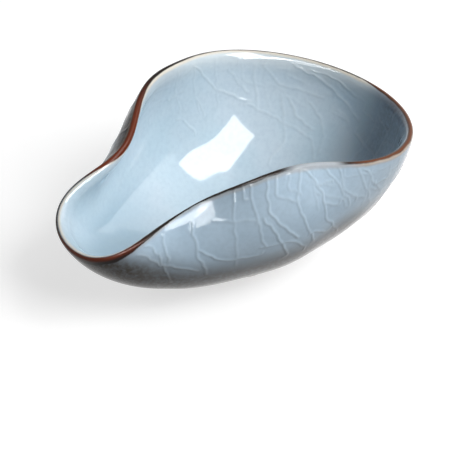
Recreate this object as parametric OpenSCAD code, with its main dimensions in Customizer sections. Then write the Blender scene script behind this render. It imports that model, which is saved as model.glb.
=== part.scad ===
// Tea scoop: a small stoneware bowl drawn out into a low spout, glazed inside and out,
// with an iron-dressed lip and an unglazed foot ring. Millimetres, +Z up, spout towards -X.

/* [Overall] */
// Length from the spout's tip to the back of the bowl
scoop_len = 120; // [100:1:150]
// Width across the rim at the haunches, the back corners of the bowl
haunch_w = 81.5; // [66:0.5:98]
// Height of the lip at the high sides of the bowl
side_h = 52.5; // [44:0.5:64]

/* [Spout] */
// Height of the lip at the spout's tip
tip_h = 27.5; // [22:0.5:35]
// Arc of the wall at the tip: 90 degrees rises upright, less flares out, more closes in
tip_arc = 79; // [65:1:90]
// Distance of the cheeks behind the tip
cheek_at = 12; // [8:0.5:16]
// Width across the rim at the cheeks
cheek_w = 37.5; // [30:0.5:46]
// Height of the lip at the cheeks
cheek_h = 34.5; // [28:0.5:42]
// Arc of the wall at the cheeks
cheek_arc = 100; // [85:1:115]

/* [Neck] */
// Distance of the pinched neck behind the tip
neck_at = 33; // [27:0.5:39]
// Width across the rim at the neck
neck_w = 41; // [34:0.5:50]
// Height of the lip at the neck
neck_h = 42.5; // [35:0.5:51]
// Arc of the wall at the neck, where it swells furthest out below the lip
neck_arc = 128; // [105:1:140]

/* [Bowl] */
// Distance of the shoulders behind the tip
shoulder_at = 47.5; // [41:0.5:55]
// Width across the rim at the shoulders
shoulder_w = 64; // [54:0.5:76]
// Height of the lip at the shoulders
shoulder_h = 51.5; // [43:0.5:62]
// Arc of the wall at the shoulders
shoulder_arc = 119; // [100:1:130]
// Width across the rim at the high sides
side_w = 78; // [64:0.5:94]
// Arc of the wall at the high sides
side_arc = 108; // [90:1:120]
// Distance of the haunches in front of the back
haunch_at = 26; // [21:0.5:32]
// Height of the lip at the haunches
haunch_h = 47; // [39:0.5:57]
// Arc of the wall at the haunches
haunch_arc = 83; // [70:1:100]
// Height of the lip at the back
back_h = 43; // [35:0.5:52]
// Arc of the wall at the back
back_arc = 90; // [75:1:105]

/* [Wall] */
// Thickness of the wall, glaze included
wall_t = 3.4; // [2.8:0.1:5]
// Thickness of one coat of glaze
glaze_t = 0.5; // [0.3:0.05:0.7]

/* [Lip] */
// Radius of the lip's outer edge, dressing included
lip_r = 1; // [0.8:0.1:1.4]
// Height over which the inside rounds out to the lip
round_h = 5; // [3.5:0.25:8]
// Depth of the iron dressing below the lip line, on both sides of the wall
dressing_h = 2; // [1:0.25:2.5]

/* [Foot] */
// Outer diameter of the foot ring
foot_d = 30; // [24:0.5:38]
// Width of the tread that the foot ring stands on
tread_w = 3; // [2:0.25:5]
// Height of the glazed bottom above the table, at the middle of the foot
foot_h = 1.5; // [1:0.25:4]
// Distance of the foot's centre behind the middle of the scoop
foot_back = 1.5; // [-4:0.5:8]
// Bare clay left between the foot ring and the edge of the glaze
bare_line = 0.5; // [0.3:0.1:1.5]
// Rounding of the foot ring's edges
foot_round = 0.6; // [0.2:0.1:0.9]

/* [Hidden] */

// Mesh of the thrown wall: stations round the rim, rings up the wall, steps over the lip
station_n = 72;
ring_n = 9;
lip_steps = 3;
// Degrees between the points of the foot's rounded edges
round_step = 15;
// Degrees by which the stations bunch towards the wide back
bunch = 12;
// Place of the high sides between the shoulders and the haunches
side_share = 0.4;
// Small step for slopes along the rim (degrees) and up the wall
slope_u = 0.05;
slope_t = 0.0005;

foot_r = foot_d / 2;
well_edge_r = foot_r - tread_w - bare_line;
glaze_edge_r = foot_r + bare_line;
foot_x = foot_back;

// Seven stations round one half of the rim, 30 degrees of turn apart:
// tip, cheek, neck, shoulder, high side, haunch and back
tip_x = -scoop_len / 2;
shoulder_x = tip_x + shoulder_at;
back_x = scoop_len / 2;
haunch_x = back_x - haunch_at;
side_x = shoulder_x + side_share * (haunch_x - shoulder_x);
rim_x = [tip_x, tip_x + cheek_at, tip_x + neck_at, shoulder_x, side_x, haunch_x, back_x];
rim_y = [0, cheek_w, neck_w, shoulder_w, side_w, haunch_w, 0] / 2;
rim_z = [tip_h, cheek_h, neck_h, shoulder_h, side_h, haunch_h, back_h];
rim_arc = [tip_arc, cheek_arc, neck_arc, shoulder_arc, side_arc, haunch_arc, back_arc];
last = len(rim_x) - 1;
turn = 180 / last;

// Smooth closed curves through the stations: cosines for what is alike on both sides,
// sines for what changes sign across the middle
function total(v) = v * [for (x = v) 1];
function half_end(j) = (j == 0 || j == last) ? 0.5 : 1;
function even_terms(v) =
    [for (j = [0 : last])
        half_end(j) * total([for (i = [0 : last]) half_end(i) * v[i] * cos(turn * i * j)]) * 2 / last];
function odd_terms(v) =
    [for (j = [0 : last]) total([for (i = [0 : last]) v[i] * sin(turn * i * j)]) * 2 / last];
function even_at(terms, u) = total([for (j = [0 : last]) terms[j] * cos(j * u)]);
function odd_at(terms, u) = total([for (j = [0 : last]) terms[j] * sin(j * u)]);

x_terms = even_terms(rim_x);
y_terms = odd_terms(rim_y);
z_terms = even_terms(rim_z);
arc_terms = even_terms(rim_arc);

// Where the lip begins to round over, at a turn of u degrees from the tip
function lip_line(u) = [even_at(x_terms, u), odd_at(y_terms, u), even_at(z_terms, u)];

// The glazed outside at turn u: t runs from 0 under the foot's centre to 1 at the lip line
function wall_at(u, t) =
    let (
        end = lip_line(u),
        arc = even_at(arc_terms, u),
        out = sin(t * arc) / sin(arc),
        rise = (1 - cos(t * arc)) / (1 - cos(arc))
    )
    [
        foot_x + (end.x - foot_x) * out,
        end.y * out,
        foot_h + (end.z - foot_h) * rise
    ];

// The t at which the outside passes a given distance from the foot's axis, low on the wall
function t_at_radius(u, r) =
    let (
        end = lip_line(u),
        arc = even_at(arc_terms, u),
        far = norm([end.x - foot_x, end.y])
    )
    asin(r * sin(arc) / far) / arc;

// Length of wall for each unit of t at the lip, and the t at a given drop below the lip line
function pace(u) = norm(wall_at(u, 1) - wall_at(u, 1 - slope_t)) / slope_t;
function t_at_drop(u, drop) = 1 - drop / pace(u);

function unit(v) = v / norm(v);
function up_wall(u, t) = unit(wall_at(u, t + slope_t) - wall_at(u, t - slope_t));
function along_rim(u, t) = unit(wall_at(u + slope_u, t) - wall_at(u - slope_u, t));
// Square out of the wall
function outward(u, t) = unit(cross(up_wall(u, t), along_rim(u, t)));

// Inside the lip the wall rounds out in a quarter ellipse that ends at the crest, a radius in from
// the outside. It has a coat's thickness less each way on the clay than on the glaze.
round_drop = max(round_h - lip_r, dressing_h + glaze_t);
round_rise = round_drop + lip_r;
function depth_inside(u, t, coat) =
    let (h = min(1, max(0, round_drop - (1 - t) * pace(u)) / (round_rise - coat)))
    lip_r + (wall_t - lip_r - coat) * sqrt(1 - h * h);

// Rings of points on four skins of the wall: the glazed outside, the clay's outside,
// the clay's inside and the glazed inside
outside = 0;
clay_out = 1;
clay_in = 2;
inside = 3;
function depth_at(skin, u, t) =
    skin == outside ? 0
    : skin == clay_out ? glaze_t
    : depth_inside(u, t, skin == clay_in ? glaze_t : 0);
function turns() =
    [for (k = [0 : station_n - 1])
        let (v = 360 * k / station_n)
        v + bunch * sin(v)];
function t_of_ring(u, ring) =
    let (
        low = t_at_radius(u, glaze_edge_r),
        high = t_at_drop(u, round_drop)
    )
    ring == well_ring ? t_at_radius(u, well_edge_r)
    : ring <= ring_n ? low + (high - low) * (ring - edge_ring) / (ring_n - edge_ring)
    : ring == dressing_ring ? t_at_drop(u, dressing_h)
    : 1;
function ring_at(skin, ring) =
    [for (u = turns())
        let (t = t_of_ring(u, ring))
        wall_at(u, t) - outward(u, t) * depth_at(skin, u, t)];
function middle_at(skin) = [foot_x, 0, foot_h + depth_at(skin, 0, 0)];
// One ring over the lip, out from its crest's line and up from the lip line
function lip_ring(out, up) =
    [for (u = turns())
        wall_at(u, 1) + outward(u, 1) * (out - lip_r) + up_wall(u, 1) * up];
// Rings over the lip under a coat: round the outer edge to the crest, then down the inner ellipse
function over_lip(coat) =
    let (
        r = lip_r - coat,
        across = wall_t - lip_r - coat,
        rise = round_rise - coat,
        first = asin(round_drop / rise)
    )
    concat(
        [for (k = [1 : lip_steps])
            let (a = 90 * k / lip_steps)
            lip_ring(r * cos(a), r * sin(a))],
        [for (k = [lip_steps - 1 : -1 : 1])
            let (a = first + (90 - first) * k / lip_steps)
            lip_ring(-across * cos(a), rise * sin(a) - round_drop)]
    );
function reversed(list) = [for (k = [len(list) - 1 : -1 : 0]) list[k]];

// Named rings: inside the foot, at the glaze's lower edge, at the dressing's edge, at the lip line
well_ring = 0;
edge_ring = 1;
dressing_ring = ring_n + 1;
lip_line_ring = ring_n + 2;
lip_bands = 2 * lip_steps;
function rings_up(skin, low, high) = [for (k = [low : high]) ring_at(skin, k)];
function rings_down(skin, high, low) = [for (k = [high : -1 : low]) ring_at(skin, k)];

// Triangles between two rings; up tells whether ring b is further up the wall than ring a,
// so that two skins that lie together are split along the same diagonals
function band(a, b, up) =
    [for (k = [0 : station_n - 1])
        let (
            n = (k + 1) % station_n,
            rising = (k < station_n / 2) == up
        )
        each rising
            ? [[a + k, a + n, b + n], [a + k, b + n, b + k]]
            : [[a + k, a + n, b + k], [a + n, b + n, b + k]]];

function flat(lists) = [for (part = lists) each part];

// A closed hoop: rings that come round to the first again
module hoop(rings, climbs) {
    n = len(rings);
    faces = [for (i = [0 : n - 1]) band(i * station_n, ((i + 1) % n) * station_n, climbs[i])];
    polyhedron(flat(rings), flat(faces));
}

// A closed cup: rings from a point under the middle, up, over and down to a point inside
module cup(bottom, rings, climbs, top) {
    n = len(rings);
    end = n * station_n;
    under = [for (k = [0 : station_n - 1]) [end, (k + 1) % station_n, k]];
    over = [for (k = [0 : station_n - 1])
        [end - station_n + k, end - station_n + (k + 1) % station_n, end + 1]];
    bands = [for (i = [0 : n - 2]) band(i * station_n, (i + 1) * station_n, climbs[i])];
    polyhedron(concat(flat(rings), [bottom, top]), concat(under, flat(bands), over));
}

function repeat(value, n) = n < 1 ? [] : [for (k = [1 : n]) value];

// The fired clay: one thrown wall with its own rounded lip
module stoneware_body() {
    rings = concat(
        rings_up(clay_out, well_ring, lip_line_ring),
        over_lip(glaze_t),
        rings_down(clay_in, lip_line_ring, well_ring)
    );
    climbs = concat(repeat(true, lip_line_ring + lip_bands), repeat(false, lip_line_ring));
    color("tan") cup(middle_at(clay_out), rings, climbs, middle_at(clay_in));
}

// The coat of glaze outside, from just off the foot ring to the dressing
module outer_glaze() {
    rings = concat(
        rings_up(outside, edge_ring, dressing_ring),
        rings_down(clay_out, dressing_ring, edge_ring)
    );
    climbs = concat(repeat(true, dressing_ring), repeat(false, dressing_ring));
    color("lightsteelblue") hoop(rings, climbs);
}

// The coat of glaze inside, from the floor to the dressing
module inner_glaze() {
    rings = concat(
        rings_up(clay_in, well_ring, dressing_ring),
        rings_down(inside, dressing_ring, well_ring)
    );
    climbs = concat(repeat(true, dressing_ring + 1), repeat(false, dressing_ring));
    color("powderblue") cup(middle_at(clay_in), rings, climbs, middle_at(inside));
}

// The pool of glaze inside the foot ring
module well_glaze() {
    rings = [ring_at(outside, well_ring), ring_at(clay_out, well_ring)];
    color("lightsteelblue") cup(middle_at(outside), rings, [true], middle_at(clay_out));
}

// The iron dressing that runs over the lip and a little way down both sides
module iron_lip() {
    rings = concat(
        rings_up(outside, dressing_ring, lip_line_ring),
        over_lip(0),
        rings_down(inside, lip_line_ring, dressing_ring),
        rings_up(clay_in, dressing_ring, lip_line_ring),
        reversed(over_lip(glaze_t)),
        rings_down(clay_out, lip_line_ring, dressing_ring)
    );
    climbs = concat(
        repeat(true, lip_bands + 1), [false, false],
        [true], repeat(false, lip_bands), [false, false]
    );
    color("saddlebrown") hoop(rings, climbs);
}

// Everything above the clay's underside, as far out as the wall's second ring
module above_clay() {
    rings = rings_up(clay_out, well_ring, edge_ring + 1);
    outer = rings[len(rings) - 1];
    roof_z = max([for (p = outer) p.z]) + wall_t;
    roof = [for (p = outer) [p.x, p.y, roof_z]];
    cup(middle_at(clay_out), concat(rings, [roof]), repeat(true, len(rings)), [foot_x, 0, roof_z]);
}

// The foot ring, turned true and cut to the curve of the clay that it carries
module foot_ring() {
    blank_h = max([for (p = ring_at(clay_out, edge_ring)) p.z]);
    color("sienna")
        difference() {
            translate([foot_x, 0, 0])
                rotate_extrude($fn = 96)
                    translate([foot_r - tread_w, 0])
                        foot_section(tread_w, blank_h);
            above_clay();
        }
}

// Section of the foot ring: upright sides and a tread with rounded edges
module foot_section(w, h) {
    polygon(concat(
        [for (a = [180 : round_step : 270]) [foot_round, foot_round] + foot_round * [cos(a), sin(a)]],
        [for (a = [270 : round_step : 360]) [w - foot_round, foot_round] + foot_round * [cos(a), sin(a)]],
        [[w, h], [0, h]]
    ));
}

stoneware_body();
outer_glaze();
inner_glaze();
well_glaze();
iron_lip();
foot_ring();
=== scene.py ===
import math

import bmesh
import bpy
import numpy as np
from mathutils import Matrix, Vector
from mathutils.kdtree import KDTree


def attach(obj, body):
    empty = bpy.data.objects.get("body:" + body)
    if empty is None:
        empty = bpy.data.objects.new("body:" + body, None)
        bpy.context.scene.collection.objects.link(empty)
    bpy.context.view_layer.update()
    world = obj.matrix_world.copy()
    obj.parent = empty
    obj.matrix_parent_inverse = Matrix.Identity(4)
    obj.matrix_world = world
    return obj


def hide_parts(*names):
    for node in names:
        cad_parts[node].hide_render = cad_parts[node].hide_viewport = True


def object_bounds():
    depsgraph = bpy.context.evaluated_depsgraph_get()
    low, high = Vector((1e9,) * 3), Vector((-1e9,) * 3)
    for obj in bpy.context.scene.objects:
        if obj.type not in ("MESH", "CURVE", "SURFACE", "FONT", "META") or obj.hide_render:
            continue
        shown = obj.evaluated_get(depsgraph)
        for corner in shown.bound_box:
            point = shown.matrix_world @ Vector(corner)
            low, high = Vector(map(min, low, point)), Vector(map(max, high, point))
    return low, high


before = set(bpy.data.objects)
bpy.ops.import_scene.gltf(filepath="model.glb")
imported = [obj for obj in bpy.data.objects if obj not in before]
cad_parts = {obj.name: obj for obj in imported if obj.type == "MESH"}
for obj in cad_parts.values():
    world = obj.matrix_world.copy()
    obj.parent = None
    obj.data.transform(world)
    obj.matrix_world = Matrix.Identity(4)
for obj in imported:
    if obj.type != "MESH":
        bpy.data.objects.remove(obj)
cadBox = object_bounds()
scene = bpy.context.scene
scene.view_settings.view_transform = "Standard"
print("frame loaded:", ", ".join(sorted(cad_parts)))

mm = 0.001
weld = 1e-7  # metres between points that become one
deepFall = -60  # for pieces far below the lip

# the thrown wall, in millimetres: seven places round one half of the rim,
# from the spout's tip over cheek, neck, shoulder, high side and haunch to the back
wallForm = {
    "rimX": (-60, -48, -27, -12.5, 6.1, 34, 60),
    "rimY": (0, 18.75, 20.5, 32, 39, 40.75, 0),
    "rimZ": (27.5, 34.5, 42.5, 51.5, 52.5, 47, 43),
    "arc": (79, 100, 128, 119, 108, 83, 90),  # degrees; over 90 leans in at the lip
    "footX": 1.5,
    "footH": 1.5,
    "wall": 3.4,
    "coat": 0.5,
    "stations": 800,
    "bunch": 12,  # degrees that the stations crowd towards the back
}

lipForm = {
    "radius": 1.0,
    "roundH": 5.0,  # height over which the inside rounds out
    "dressing": 2.0,  # how far the iron reaches below the lip line
    "outerSteps": 8,
    "innerSteps": 10,
}

places = np.arange(len(wallForm["rimX"]))
lastPlace = places[-1]
endShare = np.where((places == 0) | (places == lastPlace), 0.5, 1)
grid = np.pi / lastPlace * np.outer(places, places)


def evenTerms(values):
    return endShare * (np.cos(grid) @ (np.array(values) * endShare)) * 2 / lastPlace


def oddTerms(values):
    return (np.sin(grid) @ np.array(values)) * 2 / lastPlace


rimTerms = {
    "x": evenTerms(wallForm["rimX"]),
    "y": oddTerms(wallForm["rimY"]),
    "z": evenTerms(wallForm["rimZ"]),
    "arc": evenTerms(wallForm["arc"]),
}
evenTurns = 2 * np.pi * np.arange(wallForm["stations"]) / wallForm["stations"]
turns = evenTurns + math.radians(wallForm["bunch"]) * np.sin(evenTurns)
ones = np.ones_like(turns)
smallTurn = math.radians(0.05)
smallRise = 0.0005


def lipLine(turn):
    waves = np.outer(turn, places)
    even, odd = np.cos(waves), np.sin(waves)
    line = np.stack([even @ rimTerms["x"], odd @ rimTerms["y"], even @ rimTerms["z"]], 1)
    return line, np.radians(even @ rimTerms["arc"])


def wallAt(turn, rise):  # the glazed outside, rise 0 under the foot to 1 at the lip line
    end, arc = lipLine(turn)
    out = np.sin(rise * arc) / np.sin(arc)
    up = (1 - np.cos(rise * arc)) / (1 - np.cos(arc))
    footX, footH = wallForm["footX"], wallForm["footH"]
    return np.stack(
        [footX + (end[:, 0] - footX) * out, end[:, 1] * out, footH + (end[:, 2] - footH) * up], 1
    )


def unit(rows):
    return rows / np.linalg.norm(rows, axis=1)[:, None]


def upWall(turn, rise):
    return unit(wallAt(turn, rise + smallRise) - wallAt(turn, rise - smallRise))


def outward(turn, rise):
    along = wallAt(turn + smallTurn, rise) - wallAt(turn - smallTurn, rise)
    return unit(np.cross(upWall(turn, rise), along))


def pace(turn):  # millimetres of wall for one whole rise, taken at the lip line
    top = np.ones_like(turn)
    return np.linalg.norm(wallAt(turn, top) - wallAt(turn, top - smallRise), axis=1) / smallRise


def riseAtRadius(radius):
    end, arc = lipLine(turns)
    far = np.hypot(end[:, 0] - wallForm["footX"], end[:, 1])
    return np.arcsin(radius * np.sin(arc) / far) / arc


roundDrop = lipForm["roundH"] - lipForm["radius"]


def depthInside(turn, rise, coat):  # the inner wall rounds out to the crest in a quarter ellipse
    height = np.clip((roundDrop - (1 - rise) * pace(turn)) / (lipForm["roundH"] - coat), 0, 1)
    across = wallForm["wall"] - lipForm["radius"] - coat
    return lipForm["radius"] + across * np.sqrt(1 - height * height)


def skinAt(skin, turn, rise):
    depth = {
        "outside": np.zeros_like(turn),
        "clayOut": np.full_like(turn, wallForm["coat"]),
        "clayIn": depthInside(turn, rise, wallForm["coat"]),
        "inside": depthInside(turn, rise, 0),
    }[skin]
    return wallAt(turn, rise) - outward(turn, rise) * depth[:, None]


def skinRings(skin, rises):
    return [skinAt(skin, turns, rise) for rise in rises]


def skinPole(skin):
    depth = {"outside": 0, "clayOut": wallForm["coat"], "inside": wallForm["wall"]}
    depth["clayIn"] = wallForm["wall"] - wallForm["coat"]
    return np.array([wallForm["footX"], 0, wallForm["footH"] + depth[skin]])


def lipRings(coat):  # over the lip, from just past the outer lip line to just before the inner
    base, away, up = wallAt(turns, ones), outward(turns, ones), upWall(turns, ones)
    radius = lipForm["radius"] - coat
    across = wallForm["wall"] - lipForm["radius"] - coat
    height = lipForm["roundH"] - coat
    first = math.asin(roundDrop / height)
    outer = [math.pi / 2 * k / lipForm["outerSteps"] for k in range(1, lipForm["outerSteps"] + 1)]
    inner = [
        first + (math.pi / 2 - first) * k / lipForm["innerSteps"]
        for k in range(lipForm["innerSteps"] - 1, 0, -1)
    ]
    section = [(radius * math.cos(a), radius * math.sin(a)) for a in outer]
    section += [(-across * math.cos(a), height * math.sin(a) - roundDrop) for a in inner]
    return [base + away * (out - lipForm["radius"]) + up * rise for out, rise in section]


def steps(low, high, count):
    return [low + (high - low) * k / count for k in range(count + 1)]


# the crackle: raised lines between the plates of glaze, each set out by a few places,
# as millimetres along the rim from the tip and millimetres down from the lip line
crackForm = {
    "seed": 4,
    "half": 0.58,
    "outsideHeight": 0.19,
    "insideHeight": 0.16,
    "clearOfLip": (1.2, 3.2),  # they rise between these distances from the crest
    "sample": 0.15,
    "wobble": 0.33,
    "smooth": 27,  # samples
    "outsideNear": (
        ((60, 0), (60, 10), (61, 27)),
        ((65, 0), (66, 8), (69, 23)),
        ((68, 12), (72, 18), (77, 32)),
        ((70, 0), (70, 10), (74, 17), (79, 24)),
        ((80, 0), (78, 11), (82, 22), (86, 28)),
        ((82, 0), (86, 8), (88, 18), (98, 26)),
        ((88, 0), (93, 8), (98, 14)),
        ((99, 0), (102, 7), (108, 15)),
        ((102, 1), (107, 8), (114, 13)),
        ((48, 6), (50, 15), (53, 30)),
        ((31, 2), (38, 12), (42, 28)),
        ((28, 3), (38, 15), (50, 27)),
        ((37, 3), (42, 17)),
        ((54, 8), (60, 10), (68, 12)),
        ((51, 18), (57, 24), (69, 26)),
        ((69, 23), (77, 24), (83, 30)),
        ((73, 0), (72, 6), (78, 10)),
        ((77, 0), (76, 6), (79, 7)),
        ((63, 0), (63, 4), (66, 5)),
        ((85, 6), (91, 4)),
        ((86, 12), (92, 13), (94, 10)),
        ((93, 0), (94, 8)),
        ((82, 22), (91, 24)),
        ((95, 8), (101, 12)),
        ((106, 8), (114, 6)),
    ),
    "insideFar": (
        ((138, 2), (148, 4), (157, 8), (169, 13)),
        ((143, 2), (155, 2), (165, 6)),
        ((145, 13), (152, 18), (157, 24), (158, 29)),
        ((136, 13), (142, 20), (151, 23)),
        ((134, 14), (137, 22), (140, 30), (135, 37)),
        ((119, 18), (136, 23), (152, 26), (157, 31)),
        ((125, 3), (133, 10), (150, 11)),
        ((158, 14), (166, 16)),
        ((96, 2), (106, 12), (121, 18)),
        ((111, 5), (121, 15)),
        ((122, 5), (125, 20)),
        ((88, 21), (95, 28)),
        ((83, 14), (92, 9)),
        ((96, 14), (100, 22)),
    ),
    # where they are scattered: first and last place along the rim, and how far down they run
    "outsideBack": (118, 168, 34),
    "outsideFar": (14, 168, 34),
    "outsideFine": (84, 118, 16),
    "insideNear": (40, 164, 30),
    "insideFaint": (64, 166, 19),
    "gap": (7.5, 12.5),
    "lean": 4,
    "crossLean": 3,
    "crossAt": ((0.15, 0.35), (0.47, 0.73)),  # shares of a long crack, where cross cracks leave it
    "strengths": (0.6, 1.0),
    "faint": 0.5,
}

halfWay = wallForm["stations"] // 2
hops = np.linalg.norm(np.diff(lipLine(turns)[0][: halfWay + 1], axis=0), axis=1)
halfRim = np.concatenate([[0], np.cumsum(hops)])
chance = np.random.default_rng(crackForm["seed"])


def scatteredCracks(first, last, reach):  # long cracks with two cross cracks to each next one
    lines = []
    along = first
    while along < last:
        gap = chance.uniform(*crackForm["gap"])
        lean = chance.uniform(-crackForm["lean"], crackForm["lean"])
        lines.append(((along, 0), (along - lean / 3, reach / 2), (along + lean, reach)))
        for low, high in crackForm["crossAt"]:
            down = reach * chance.uniform(low, high)
            end = down + chance.uniform(-crackForm["crossLean"], crackForm["crossLean"])
            lines.append(((along, down), (along + gap, end)))
        along += gap
    return lines


def crackPath(skin, side, places):
    corners = np.array(places, float)
    reach = np.concatenate([[0], np.cumsum(np.linalg.norm(np.diff(corners, axis=0), axis=1))])
    at = np.arange(0, reach[-1], crackForm["sample"])
    count = crackForm["smooth"]
    soft = np.hanning(count + 2)[1:-1]
    soft = soft / soft.sum()
    columns = []
    for k in (0, 1):
        column = np.interp(at, reach, corners[:, k])
        shake = chance.normal(0, crackForm["wobble"] * math.sqrt(count) / 2, len(at))
        padded = np.pad(column + shake, count // 2, mode="reflect", reflect_type="odd")
        columns.append(np.convolve(padded, soft, mode="valid"))
    along, down = columns
    turn = side * np.interp(along, halfRim, turns[: halfWay + 1])
    return skinAt(skin, turn, 1 - down / pace(turn))


def crackTree(skin, sets):  # each set: its side, far or near, its strength and its lines
    paths, strengths = [], []
    for side, strength, lines in sets:
        for places in lines:
            path = crackPath(skin, side, places)
            paths.append(path)
            strengths.append(np.full(len(path), strength * chance.uniform(*crackForm["strengths"])))
    points, strengths = np.concatenate(paths), np.concatenate(strengths)
    tree = KDTree(len(points))
    for k, point in enumerate(points):
        tree.insert(point, k)
    tree.balance()
    return tree, strengths


def crackOn(rings, cracks):  # 0 on the plates to 1 on a crack
    tree, strengths = cracks
    lines = []
    for points in rings:
        found = [tree.find(point) for point in points]
        near = np.array([distance for place, index, distance in found]) / crackForm["half"]
        near = np.clip(near, 0, 1)
        strength = strengths[[index for place, index, distance in found]]
        lines.append((1 - near * near * (3 - 2 * near)) * strength)
    return lines


outsideCracks = crackTree(
    "outside",
    (
        (-1, 1.0, crackForm["outsideNear"]),
        (-1, 1.0, scatteredCracks(*crackForm["outsideBack"])),
        (-1, crackForm["faint"], scatteredCracks(*crackForm["outsideFine"])),
        (1, 1.0, scatteredCracks(*crackForm["outsideFar"])),
    ),
)
insideCracks = crackTree(
    "inside",
    (
        (1, 1.0, crackForm["insideFar"]),
        (1, crackForm["faint"], scatteredCracks(*crackForm["insideFaint"])),
        (-1, 1.0, scatteredCracks(*crackForm["insideNear"])),
    ),
)
print("crackle set out")


def extrudeRing(bm, ring):
    edges = [bm.edges.get((ring[k - 1], ring[k])) for k in range(len(ring))]
    made = bmesh.ops.extrude_edge_only(bm, edges=edges)["geom"]
    fresh = {v for v in made if isinstance(v, bmesh.types.BMVert)}
    return [next(e.other_vert(v) for e in v.link_edges if e.other_vert(v) in fresh) for v in ring]


def loft(name, rings, poles=None):  # each ring: its points, fall and crack
    bm = bmesh.new()
    fallLayer = bm.verts.layers.float.new("fall")
    crackLayer = bm.verts.layers.float.new("crack")

    def place(ring, made):
        for vert, point, fall, crack in zip(ring, *made):
            vert.co = point * mm
            vert[fallLayer] = fall
            vert[crackLayer] = crack

    bmesh.ops.create_circle(bm, cap_ends=False, radius=mm, segments=len(turns))
    firstRing = list(bm.verts)
    place(firstRing, rings[0])
    ring = firstRing
    for made in rings[1:]:
        ring = extrudeRing(bm, ring)
        place(ring, made)
    if poles:
        for edgeRing, made, pole in ((firstRing, rings[0], poles[0]), (ring, rings[-1], poles[1])):
            tip = extrudeRing(bm, edgeRing)
            place(tip, (np.tile(pole, (len(tip), 1)), made[1], 0 * made[2]))
            bmesh.ops.pointmerge(bm, verts=tip, merge_co=Vector(pole) * mm)
    else:
        closing = extrudeRing(bm, ring)
        place(closing, rings[0])
        bmesh.ops.remove_doubles(bm, verts=firstRing + closing, dist=weld)
    bmesh.ops.recalc_face_normals(bm, faces=bm.faces[:])
    for face in bm.faces:
        face.smooth = True
    for edge in bm.edges:
        edge.smooth = edge.calc_face_angle(0) < math.radians(meshForm["sharpFrom"])
    mesh = bpy.data.meshes.new(name)
    bm.to_mesh(mesh)
    bm.free()
    piece = bpy.data.objects.new(name, mesh)
    scene.collection.objects.link(piece)
    return piece


def plain(rings):  # rings without cracks, far from the lip
    return [(points, deepFall * ones, 0 * ones) for points in rings]


footForm = {"radius": 15.0, "tread": 3.0, "bareLine": 0.5, "round": 0.6, "arcStep": 15}
# rings of the low wall, the crackled wall, the lip's shoulder, its dressing, the floor and the well
meshForm = {
    "lowRings": 12,
    "crackledRings": 74,
    "crackledDown": 40.0,
    "roundRings": 6,
    "dressRings": 6,
    "floorRings": 8,
    "wellRings": 6,
    "backEvery": 8,  # rings of a coat's hidden side are this much wider apart
    "hold": 0.05,  # close rings at both edges of the dressing
    "sharpFrom": 45,  # degrees between faces
}

wallPace = pace(turns)
edgeRise = riseAtRadius(footForm["radius"] + footForm["bareLine"])
crackledRise = ones - meshForm["crackledDown"] / wallPace
roundRise = ones - roundDrop / wallPace
dressRise = ones - lipForm["dressing"] / wallPace
holdRise = meshForm["hold"] / wallPace
wallRises = (
    steps(edgeRise, crackledRise, meshForm["lowRings"])[:-1]
    + steps(crackledRise, roundRise, meshForm["crackledRings"])[:-1]
    + steps(roundRise, dressRise - holdRise, meshForm["roundRings"])
    + [dressRise]
)
dressRises = (
    [dressRise] + steps(dressRise + holdRise, ones - holdRise, meshForm["dressRings"]) + [ones]
)
floorRises = [edgeRise * k / meshForm["floorRings"] for k in range(meshForm["floorRings"] - 1, 0, -1)]

# the whole glazed surface in one run: up the outside, over the lip and down the inside
outsideRises = wallRises + dressRises[1:]
insideRises = outsideRises[::-1] + floorRises
outside = skinRings("outside", outsideRises)
inside = skinRings("inside", insideRises)
overLip = lipRings(0)
run = np.array(outside + overLip + inside)
travel = np.cumsum(np.linalg.norm(np.diff(run, axis=0), axis=2), axis=0)
travel = np.concatenate([np.zeros((1, len(turns))), travel])
falls = travel - travel[len(outside) - 1 + lipForm["outerSteps"]]  # from the crest, below 0 outside
boxLow, boxHigh = np.array(cadBox) / mm


def relief(rings, rises, falls, tree, height):  # cracks stand up from the plates, inside the box
    start, full = crackForm["clearOfLip"]
    made = []
    for points, rise, fall, crack in zip(rings, rises, falls, crackOn(rings, tree)):
        crack = crack * np.clip((abs(fall) - start) / (full - start), 0, 1)
        raised = points + outward(turns, rise) * height * crack[:, None]
        made.append((np.clip(raised, boxLow, boxHigh), fall, crack))
    return made


lipEnd = len(outside) + len(overLip)
surface = (
    relief(outside, outsideRises, falls, outsideCracks, crackForm["outsideHeight"])
    + [(points, fall, 0 * ones) for points, fall in zip(overLip, falls[len(outside) :])]
    + relief(inside, insideRises, falls[lipEnd:], insideCracks, -crackForm["insideHeight"])
)
outerTop, innerTop = len(wallRises), len(surface) - len(floorRises) - len(wallRises)


def hidden(skin, rises, like):  # a coat's side on the clay, with the fall of the side seen
    return [(skinAt(skin, turns, rise), made[1], made[2]) for rise, made in zip(rises, like)]


def thinned(items):  # the hidden side's rings, both ends kept
    return items[: -1 : meshForm["backEvery"]] + items[-1:]


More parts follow.
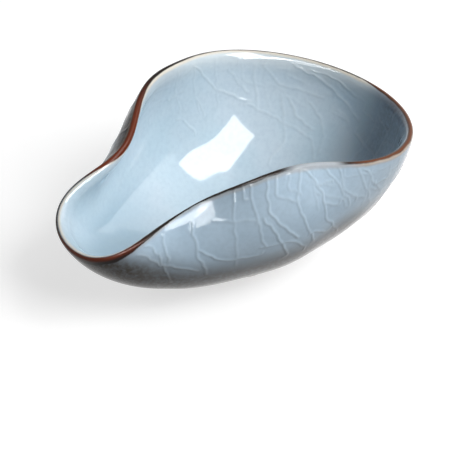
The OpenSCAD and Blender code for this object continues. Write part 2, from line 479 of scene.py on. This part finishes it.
outerSeen = surface[:outerTop]
outerGlaze = loft(
    "outerGlaze", outerSeen + hidden("clayOut", thinned(wallRises), thinned(outerSeen))[::-1]
)
lipSeen = surface[outerTop - 1 : innerTop + 1]
overClay = [
    (points, made[1], made[2])
    for points, made in zip(lipRings(wallForm["coat"]), lipSeen[len(dressRises) :])
]
ironLip = loft(
    "ironLip",
    lipSeen
    + hidden("clayIn", dressRises, lipSeen[::-1])
    + overClay[::-1]
    + hidden("clayOut", dressRises, lipSeen)[::-1],
)
innerSeen = surface[innerTop:]
innerRises = wallRises[::-1] + floorRises
innerGlaze = loft(
    "innerGlaze",
    hidden("clayIn", thinned(innerRises), thinned(innerSeen))[::-1] + innerSeen,
    poles=(skinPole("clayIn"), skinPole("inside")),
)
wellRise = riseAtRadius(footForm["radius"] - footForm["tread"] - footForm["bareLine"])
wellRises = [wellRise * k / meshForm["wellRings"] for k in range(1, meshForm["wellRings"] + 1)]
wellGlaze = loft(
    "wellGlaze",
    plain(skinRings("outside", wellRises) + skinRings("clayOut", wellRises[::-1])),
    poles=(skinPole("outside"), skinPole("clayOut")),
)
print("coats lofted:", len(outerSeen), "rings outside,", len(innerSeen), "inside")


def footRing():  # a turned section, its top lying on the clay
    inner, outer = footForm["radius"] - footForm["tread"], footForm["radius"]
    r = footForm["round"]
    away = wallAt(turns, edgeRise) - skinPole("outside")
    away[:, 2] = 0
    away = unit(away)
    middle = np.array([wallForm["footX"], 0, 0])
    arcs = [math.radians(a) for a in range(0, 91, footForm["arcStep"])]
    section = [(inner + r - r * math.cos(a), r - r * math.sin(a)) for a in arcs]
    section += [(outer - r + r * math.sin(a), r - r * math.cos(a)) for a in arcs]
    rings = [middle + away * radius + np.array([0, 0, z]) for radius, z in section]
    for radius in (outer, (inner + outer) / 2, inner):
        clay = skinAt("clayOut", turns, riseAtRadius(radius))
        flat = middle + away * radius
        flat[:, 2] = clay[:, 2]
        rings.append(flat)
    return loft("footRing", plain(rings))


bareFoot = footRing()
print("foot turned")


class Value:  # a socket that can take part in sums
    def __init__(self, finish, socket):
        self.finish, self.socket = finish, socket

    def sum(self, kind, first, second):
        return self.finish.node("ShaderNodeMath", {"operation": kind}, {0: first, 1: second})

    def __add__(self, other):
        return self.sum("ADD", self, other)

    def __radd__(self, other):
        return self.sum("ADD", other, self)

    def __sub__(self, other):
        return self.sum("SUBTRACT", self, other)

    def __rsub__(self, other):
        return self.sum("SUBTRACT", other, self)

    def __mul__(self, other):
        return self.sum("MULTIPLY", self, other)

    def __rmul__(self, other):
        return self.sum("MULTIPLY", other, self)

    def __abs__(self):
        return self.finish.node("ShaderNodeMath", {"operation": "ABSOLUTE"}, {0: self})


class Finish:  # the nodes of a material or of the world
    def __init__(self, owner):
        self.owner = owner
        owner.use_nodes = True
        self.tree = owner.node_tree
        self.tree.nodes.clear()

    def node(self, kind, settings=None, sockets=None, out=0):
        made = self.tree.nodes.new(kind)
        for key, value in (settings or {}).items():
            setattr(made, key, value)
        for key, value in (sockets or {}).items():
            if isinstance(value, Value):
                self.tree.links.new(value.socket, made.inputs[key])
            else:
                made.inputs[key].default_value = value
        return Value(self, made.outputs[out]) if made.outputs else None

    def spot(self):  # the place on the piece, in millimetres
        here = self.node("ShaderNodeTexCoord", out="Object")
        return self.node("ShaderNodeVectorMath", {"operation": "SCALE"}, {0: here, "Scale": 1 / mm})

    def axes(self, vector):
        return [self.node("ShaderNodeSeparateXYZ", None, {0: vector}, out=k) for k in range(3)]

    def shift(self, vector, by):
        return self.node("ShaderNodeVectorMath", {"operation": "ADD"}, {0: vector, 1: by})

    def noise(self, vector, size, detail):
        sockets = {"Vector": vector, "Scale": 1 / size, "Detail": detail}
        return self.node("ShaderNodeTexNoise", None, sockets, out="Fac")

    def band(self, value, low, high):  # 0 below low, 1 above high, eased between
        sockets = {"Value": value, "From Min": low, "From Max": high}
        return self.node("ShaderNodeMapRange", {"interpolation_type": "SMOOTHSTEP"}, sockets)

    def least(self, first, second):
        return self.node("ShaderNodeMath", {"operation": "MINIMUM"}, {0: first, 1: second})

    def most(self, first, second):
        return self.node("ShaderNodeMath", {"operation": "MAXIMUM"}, {0: first, 1: second})

    def mix(self, share, first, second):
        sockets = {0: share, 6: first, 7: second}
        return self.node("ShaderNodeMix", {"data_type": "RGBA"}, sockets, out=2)

    def reading(self, name):
        return self.node("ShaderNodeAttribute", {"attribute_name": name}, out="Fac")

    def close(self, sockets, height, depth):  # the shader, uneven by a depth in millimetres
        bump = {"Strength": 1.0, "Distance": depth * mm, "Height": height}
        sockets["Normal"] = self.node("ShaderNodeBump", None, bump)
        shader = self.node("ShaderNodeBsdfPrincipled", None, sockets, out="BSDF")
        self.node("ShaderNodeOutputMaterial", None, {"Surface": shader})
        return self.owner


def paint(red, green, blue):  # a colour as a picture shows it, 0 to 255
    def straight(c):
        c = c / 255
        return c / 12.92 if c <= 0.04045 else ((c + 0.055) / 1.055) ** 2.4

    return (straight(red), straight(green), straight(blue), 1.0)


glazeLook = {
    "outside": paint(182, 205, 223),
    "outsideDeep": paint(170, 194, 213),
    "low": paint(108, 112, 115),  # where the wall turns under: the glaze runs thin there, darkened further with painted shade
    "under": paint(64, 58, 50),  # and close to the foot: thin glaze, darkened further with painted shade
    "inside": paint(188, 204, 215),
    "insideDeep": paint(180, 201, 213),
    "backCornerShade": paint(98, 108, 121),  # painted shade in the back corner, on the near side
    "spoutFloorShade": paint(160, 184, 198),  # painted shade, low on the spout's floor
    "farNeck": paint(44, 32, 26),  # iron run down from the lip at the far neck, darkened further with painted shade
    "pale": paint(205, 211, 212),  # where it thins out below the lip, lightened there further as a painted highlight
    "mottled": paint(150, 172, 190),
    "roughness": 0.06,
    "roughCloud": 0.03,
    "roughIron": 0.22,
    "ior": 1.5,
    "gloss": {"outside": 0.2, "inside": 0.5, "lip": 0.14},
    "unevenness": 0.004,
    "unevenSize": 2.5,
    "crackPale": 0.12,
    "mottle": 0.22,
    "mottleSize": 1.4,
    "mottleBand": (0.35, 0.75),
    "cloudSize": 22.0,
    "cloudBand": (0.35, 0.7),
    "crestBand": (-0.5, 0.5),  # outside to inside, in millimetres from the crest
    "wetBand": (-1.0, 0.4),
    # the line where the wall turns under dips near the neck, in millimetres up
    "turnLeast": 27.0,
    "turnDip": 20.0,  # towards the tip from the middle
    "turnBend": 0.0055,
    "turnMost": 33.0,
    "turnUneven": 5.0,
    "lowBand": (-8.0, 3.0),  # about that line
    "underBand": (-24.0, -5.0),
    "underSpoutBand": (-5.0, 4.0),
    # millimetres over which a tone comes in or goes out: from spout to back, across or up
    "underSpoutOut": (-52.0, -34.0),
    "greyBackIn": (12.0, 44.0),
    "greyBack": 0.3,
    "farNeckAcross": (3.0, 14.0),
    "farNeckOut": (-22.0, -6.0),
    "farNeckFall": (-13.0, -4.0),
    "spoutShadeUp": (16.0, 26.0),
    "spoutShadeOut": (-34.0, -8.0),
    "cornerShadeIn": (30.0, 54.0),
    "cornerShadeAcross": (-16.0, 12.0),
}

ironLook = {
    "dark": paint(26, 17, 12),
    "redBrown": paint(98, 40, 16),
    "scorched": paint(24, 16, 12),
    "orange": paint(100, 50, 14),
    "tan": paint(176, 150, 122),
    "cream": paint(220, 208, 188),
    # millimetres from spout to back, or across, over which each part of the rim comes in or goes out
    "farAcross": (2.0, 12.0),
    "tipOut": (-54.0, -42.0),
    "tipSlant": 0.9,
    "neckIn": (-46.0, -36.0),
    "neckOut": (-20.0, -6.0),
    "backIn": (52.0, 62.0),
    "bareIn": (-8.0, -2.0),
    "bareOut": (8.0, 13.0),
    "narrowIn": (0.0, 20.0),
    "dullIn": (4.0, 24.0),
    # how far the iron reaches from the crest, in millimetres, and what each part of the rim adds
    "outer": {"all": 1.7, "narrow": -0.9, "tip": 1.2, "uneven": 0.6},
    "inner": {"all": 0.15, "back": 0.6, "tip": -0.4, "far": 0.15, "farNeck": 0.7, "farTip": -0.5},
    "outerEdge": (-0.3, 0.3),
    "innerEdge": (-0.2, 0.3),
    "unevenSize": 4.0,
    "uneven": 0.8,
    "unevenPlace": 0.5,
    "crest": (-0.2, 0.2),
    "thinOuter": (-1.6, -0.2),
    "thinInner": (0.7, 1.9),
    "thinTip": 0.7,
    "thinShare": {"all": 0.35, "inner": 0.4, "outerBack": 0.4},
    "thinLessBack": 0.9,
    "paleFall": (2.0, 9.0),
    "paleShare": 0.45,
    "bareShare": 0.85,
    "backDarkIn": (-0.3, 0.7),
    "backDark": 0.7,
    "scorchTip": (-2.2, -0.9),
    "scorchBack": (-0.9, -0.4),
    "dullBack": 0.8,
}


def lipColour(fin, glaze, spot, fall):  # iron at the crest, tan and cream where the glaze runs thin
    iron, outer, inner, thinShare = ironLook, ironLook["outer"], ironLook["inner"], ironLook["thinShare"]
    x, y = fin.axes(spot)[:2]
    far, near = fin.most(y, 0.0), fin.most(0 - y, 0.0)
    farSide = fin.band(y, *iron["farAcross"])
    tip = 1 - fin.band(x - far * iron["tipSlant"], *iron["tipOut"])
    neck = fin.band(x, *iron["neckIn"]) * (1 - fin.band(x, *iron["neckOut"]))
    back = fin.band(x - far + near, *iron["backIn"])
    bare = fin.band(x, *iron["bareIn"]) * (1 - fin.band(x, *iron["bareOut"])) * (1 - farSide)
    uneven = (fin.noise(spot, iron["unevenSize"], 2.0) - 0.5) * iron["uneven"]
    place = fall + uneven * iron["unevenPlace"]

    outerReach = outer["all"] + fin.band(x, *iron["narrowIn"]) * outer["narrow"]
    outerReach = outerReach + tip * outer["tip"] + uneven * outer["uneven"]
    farReach = neck * inner["farNeck"] + tip * inner["farTip"] + inner["far"]
    innerReach = inner["all"] + back * inner["back"] + farSide * farReach + tip * inner["tip"]
    dark = fin.band(place + outerReach, *iron["outerEdge"])
    dark = dark * (1 - fin.band(place - innerReach, *iron["innerEdge"])) * (1 - bare * iron["bareShare"])

    inside = fin.band(fall, *iron["crest"])
    thin = fin.band(place + outerReach, *iron["thinOuter"])
    thin = thin * (1 - fin.band(place + tip * iron["thinTip"], *iron["thinInner"]))
    shown = inside * thinShare["inner"] + back * (1 - inside) * thinShare["outerBack"] + thinShare["all"]
    thin = thin * shown * (1 - tip * (1 - inside)) * (1 - back * inside * iron["thinLessBack"])
    # paler below the lip inside: the glaze thinning, plus a painted highlight where the rounding catches
    # the light
    pale = (1 - fin.band(abs(fall), *iron["paleFall"])) * inside * (1 - tip) * (1 - back)
    colour = fin.mix(pale * iron["paleShare"], glaze, glazeLook["pale"])
    colour = fin.mix(thin, colour, fin.mix(inside, iron["tan"], iron["cream"]))

    brown = fin.mix(fin.most(tip * (1 - farSide), neck * farSide), iron["dark"], iron["redBrown"])
    backDark = fin.band(place, *iron["backDarkIn"]) * iron["backDark"]
    brown = fin.mix(back, brown, fin.mix(backDark, iron["orange"], iron["dark"]))
    scorchTip = tip * (1 - fin.band(place, *iron["scorchTip"]))
    scorchBack = back * (1 - fin.band(place, *iron["scorchBack"]))
    brown = fin.mix(fin.most(scorchTip, scorchBack), brown, iron["scorched"])
    dull = fin.most(back * iron["dullBack"], fin.band(x - far, *iron["dullIn"]) * farSide)
    return fin.mix(dark, colour, brown), dark, 1 - fin.most(dark, dull)


def outsideColour(fin, spot, cloud, fall):
    look = glazeLook
    x, y, z = fin.axes(spot)
    colour = fin.mix(fin.band(cloud, *look["cloudBand"]), look["outside"], look["outsideDeep"])
    fromDip = x + look["turnDip"]
    turn = fin.least(look["turnLeast"] + fromDip * fromDip * look["turnBend"], look["turnMost"])
    low = z - turn + (cloud - 0.5) * look["turnUneven"]
    # darker below where the wall turns under: thinner glaze, plus painted shade of the underside
    colour = fin.mix(1 - fin.band(low, *look["lowBand"]), colour, look["low"])
    # darker close to the foot and under the spout: thin glaze, plus painted shade
    underSpout = 1 - fin.band(x, *look["underSpoutOut"])
    underSpout = underSpout * (1 - fin.band(low, *look["underSpoutBand"]))
    under = fin.most(1 - fin.band(low, *look["underBand"]), underSpout)
    colour = fin.mix(under, colour, look["under"])
    colour = fin.mix(fin.band(x, *look["greyBackIn"]) * look["greyBack"], colour, look["low"])
    # an iron run at the far neck, darkened further with painted shade
    farNeck = fin.band(y, *look["farNeckAcross"]) * (1 - fin.band(x, *look["farNeckOut"]))
    return fin.mix(farNeck * fin.band(fall, *look["farNeckFall"]), colour, look["farNeck"])


def insideColour(fin, spot, cloud):
    look = glazeLook
    x, y, z = fin.axes(spot)
    colour = fin.mix(fin.band(cloud, *look["cloudBand"]), look["inside"], look["insideDeep"])
    # painted shade low on the spout's floor
    spoutShade = (1 - fin.band(z, *look["spoutShadeUp"])) * (1 - fin.band(x, *look["spoutShadeOut"]))
    colour = fin.mix(spoutShade, colour, look["spoutFloorShade"])
    # painted shade in the back corner, on the near side
    corner = fin.band(x, *look["cornerShadeIn"]) * (1 - fin.band(y, *look["cornerShadeAcross"]))
    return fin.mix(corner, colour, look["backCornerShade"])


def glazeFinish(name, where):
    look = glazeLook
    fin = Finish(bpy.data.materials.new(name))
    spot = fin.spot()
    fall = fin.reading("fall")
    cloud = fin.noise(spot, look["cloudSize"], 3.0)
    outside = outsideColour(fin, spot, cloud, fall)
    inside = insideColour(fin, spot, cloud)
    over = fin.mix(fin.band(fall, *look["crestBand"]), outside, inside)
    colour = {"outside": outside, "inside": inside, "lip": over}[where]
    colour = fin.mix(fin.reading("crack") * look["crackPale"], colour, look["pale"])
    mottle = fin.band(fin.noise(spot, look["mottleSize"], 3.0), *look["mottleBand"])
    colour = fin.mix(mottle * look["mottle"], colour, look["mottled"])
    colour, dark, wet = lipColour(fin, colour, spot, fall)
    rough = look["roughness"] + cloud * look["roughCloud"] + dark * look["roughIron"]
    sockets = {"Base Color": colour, "Roughness": rough, "IOR": look["ior"]}
    sockets["Specular IOR Level"] = look["gloss"][where]
    if where == "lip":
        sockets["Coat Weight"] = fin.band(fall, *look["wetBand"]) * wet
        sockets["Coat Roughness"] = look["roughness"]
    return fin.close(sockets, fin.noise(spot, look["unevenSize"], 1.0), look["unevenness"])


clayLook = {
    "body": paint(176, 140, 104),
    "fired": paint(122, 82, 56),
    "speck": paint(60, 42, 32),
    "roughness": 0.82,
    "roughGrit": 0.1,
    "grain": 0.12,
    "cloudSize": 8.0,
    "cloudBand": (0.3, 0.7),
    "cloudShare": 0.6,
    "gritSize": 0.45,
    "speckSize": 0.9,
    "speckShift": (3.0, 5.0, 7.0),
    "speckBand": (0.66, 0.74),
    "speckShare": 0.7,
    "footWarmth": 0.4,
}


def clayFinish(name, warmth):
    look = clayLook
    fin = Finish(bpy.data.materials.new(name))
    spot = fin.spot()
    cloud = fin.band(fin.noise(spot, look["cloudSize"], 4.0), *look["cloudBand"])
    grit = fin.noise(spot, look["gritSize"], 3.0)
    base = fin.mix(cloud * look["cloudShare"] + warmth, look["body"], look["fired"])
    specks = fin.noise(fin.shift(spot, look["speckShift"]), look["speckSize"], 1.0)
    specks = fin.band(specks, *look["speckBand"]) * look["speckShare"]
    colour = fin.mix(specks, base, look["speck"])
    rough = look["roughness"] + grit * look["roughGrit"]
    return fin.close({"Base Color": colour, "Roughness": rough}, grit, look["grain"])


finishes = {
    "outerGlaze": glazeFinish("crackledOutside", "outside"),
    "innerGlaze": glazeFinish("crackledInside", "inside"),
    "ironLip": glazeFinish("ironLipGlaze", "lip"),
    "wellGlaze": glazeFinish("crackledWell", "outside"),
    "footRing": clayFinish("bareFootClay", clayLook["footWarmth"]),
}
clayBody = clayFinish("stonewareClay", 0.0)

pieces = [
    (outerGlaze, "outer_glaze", "outer_glaze"),
    (innerGlaze, "inner_glaze", "inner_glaze"),
    (ironLip, "iron_lip", "iron"),
    (wellGlaze, "well_glaze", "outer_glaze"),
    (bareFoot, "foot_ring", "bare_foot"),
]
for piece, node, slot in pieces:
    piece.data.materials.append(finishes[piece.name])
    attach(piece, "root")
    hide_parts(node)
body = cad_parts["stoneware_body"]
body.data.materials.clear()
body.data.materials.append(clayBody)
print("finishes made:", ", ".join(sorted(finishes)))

# metres, degrees and watts
studio = {
    "floorSize": 8.0,
    "floorPale": 0.5,
    "floorGlow": 0.62,
    "floorGap": 0.00005,  # below the tread
    "floorFade": (260.0, 900.0),  # millimetres from the scoop, over which the floor turns white
    "floorBounce": (0.11, 0.08, 0.06, 1),
    "fill": 0.02,
    "white": 1.0,
    "key": {
        "at": (0.165, -0.541, 0.571),
        "aim": (0, 0, 0.02),
        "size": (0.41, 0.41),
        "roll": 17,
        "watts": 5.8,
    },
    "panel": {
        "at": (0.62, -0.30, 0.66),
        "aim": (0, 0, 0.03),
        "size": (0.9, 0.9),
        "roll": 0,
        "watts": 3.8,
    },
    "leftFill": {
        "at": (-0.50, -0.29, 0.20),
        "aim": (0, 0, 0.03),
        "size": (0.4, 0.4),
        "roll": 0,
        "watts": 0.35,
    },
    "rear": {
        "at": (0.38, 0.66, 0.16),
        "aim": (0, 0, 0.03),
        "size": (0.4, 0.4),
        "roll": 0,
        "watts": 4.5,
    },
    # two strips that the neck's outside mirrors under the lip
    "highStrip": {
        "at": (-0.151, -0.346, 0.398),
        "aim": (0.068, -0.199, 0.025),
        "size": (1.02, 0.096),
        "roll": -12,
        "watts": 7.6,
    },
    "lowStrip": {
        "at": (-0.345, -0.083, 0.388),
        "aim": (-0.126, 0.064, 0.015),
        "size": (0.36, 0.11),
        "roll": -42,
        "watts": 2.5,
    },
}


def seenDirectly(fin):
    kinds = ("Is Camera Ray", "Is Glossy Ray", "Is Transmission Ray")
    camera, glossy, through = [fin.node("ShaderNodeLightPath", out=kind) for kind in kinds]
    return fin.most(fin.most(camera, glossy), through)


def floorFinish():
    fin = Finish(bpy.data.materials.new("floorPale"))
    grey = studio["floorPale"]
    lit = fin.node("ShaderNodeBsdfDiffuse", None, {"Color": (grey, grey, grey, 1)})
    close = fin.node("ShaderNodeEmission", None, {"Strength": studio["floorGlow"]})
    distant = fin.node("ShaderNodeEmission", None, {"Strength": studio["white"]})
    away = fin.node("ShaderNodeVectorMath", {"operation": "LENGTH"}, {0: fin.spot()}, out="Value")
    wide = fin.band(away, *studio["floorFade"])
    shine = fin.node("ShaderNodeMixShader", None, {0: wide, 1: close, 2: distant})
    pale = fin.node("ShaderNodeAddShader", None, {0: lit, 1: shine})
    dim = fin.node("ShaderNodeBsdfDiffuse", None, {"Color": studio["floorBounce"]})
    both = fin.node("ShaderNodeMixShader", None, {0: seenDirectly(fin), 1: dim, 2: pale})
    fin.node("ShaderNodeOutputMaterial", None, {"Surface": both})
    return fin.owner


def studioAir():
    fin = Finish(bpy.data.worlds.new("studioAir"))
    fill, white = [
        fin.node("ShaderNodeBackground", None, {"Strength": studio[key], "Color": (1, 1, 1, 1)})
        for key in ("fill", "white")
    ]
    both = fin.node("ShaderNodeMixShader", None, {0: seenDirectly(fin), 1: fill, 2: white})
    fin.node("ShaderNodeOutputWorld", None, {"Surface": both})
    return fin.owner


bm = bmesh.new()
bmesh.ops.create_grid(
    bm,
    x_segments=1,
    y_segments=1,
    size=studio["floorSize"] / 2,
    matrix=Matrix.Translation((0, 0, -studio["floorGap"])),
)
floorMesh = bpy.data.meshes.new("floor")
bm.to_mesh(floorMesh)
bm.free()
floor = bpy.data.objects.new("floor", floorMesh)
scene.collection.objects.link(floor)
floor.data.materials.append(floorFinish())
scene.world = studioAir()


def softbox(name, box):
    light = bpy.data.lights.new(name, "AREA")
    light.shape = "RECTANGLE"
    light.size, light.size_y = box["size"]
    light.energy = box["watts"]
    lamp = bpy.data.objects.new(name, light)
    place = Vector(box["at"])
    turn = (place - Vector(box["aim"])).to_track_quat("Z", "Y").to_matrix().to_4x4()
    roll = Matrix.Rotation(math.radians(box["roll"]), 4, "Z")
    lamp.matrix_world = Matrix.Translation(place) @ turn @ roll
    scene.collection.objects.link(lamp)
    return lamp


softbox("keyLight", studio["key"])
softbox("panelLight", studio["panel"])
for name in ("leftFill", "rear"):  # soft light that no glaze mirrors
    softbox(name, studio[name]).visible_glossy = False
# the strips show as highlights on the outside and the lip only, and give no soft light
glinting = bpy.data.collections.new("glinting")
for piece in (outerGlaze, ironLip):
    glinting.objects.link(piece)
for name in ("highStrip", "lowStrip"):
    strip = softbox(name, studio[name])
    strip.visible_diffuse = False
    strip.light_linking.receiver_collection = glinting
print("studio lit")

# camera
view = {
    "target": (-0.00651, 0.0, 0.020),
    "azimuth": -35.21,
    "elevation": 35.04,
    "distance": 0.4017,
    "turn": -1.11,
    "nod": 1.14,
    "focal": 1250.72,  # pixels, on a picture 470 wide
    "picture": 470,
    "sensor": 36.0,
}
cameraData = bpy.data.cameras.new("camera")
cameraData.sensor_width = view["sensor"]
cameraData.lens = view["sensor"] * view["focal"] / view["picture"]
camera = bpy.data.objects.new("camera", cameraData)
azimuth, elevation = math.radians(view["azimuth"]), math.radians(view["elevation"])
back = Vector(
    (
        math.sin(azimuth) * math.cos(elevation),
        -math.cos(azimuth) * math.cos(elevation),
        math.sin(elevation),
    )
)
camera.location = Vector(view["target"]) + back * view["distance"]
camera.rotation_euler = (
    math.radians(90 - view["elevation"] - view["nod"]),
    0,
    math.radians(view["azimuth"] + view["turn"]),
)
scene.collection.objects.link(camera)
scene.camera = camera
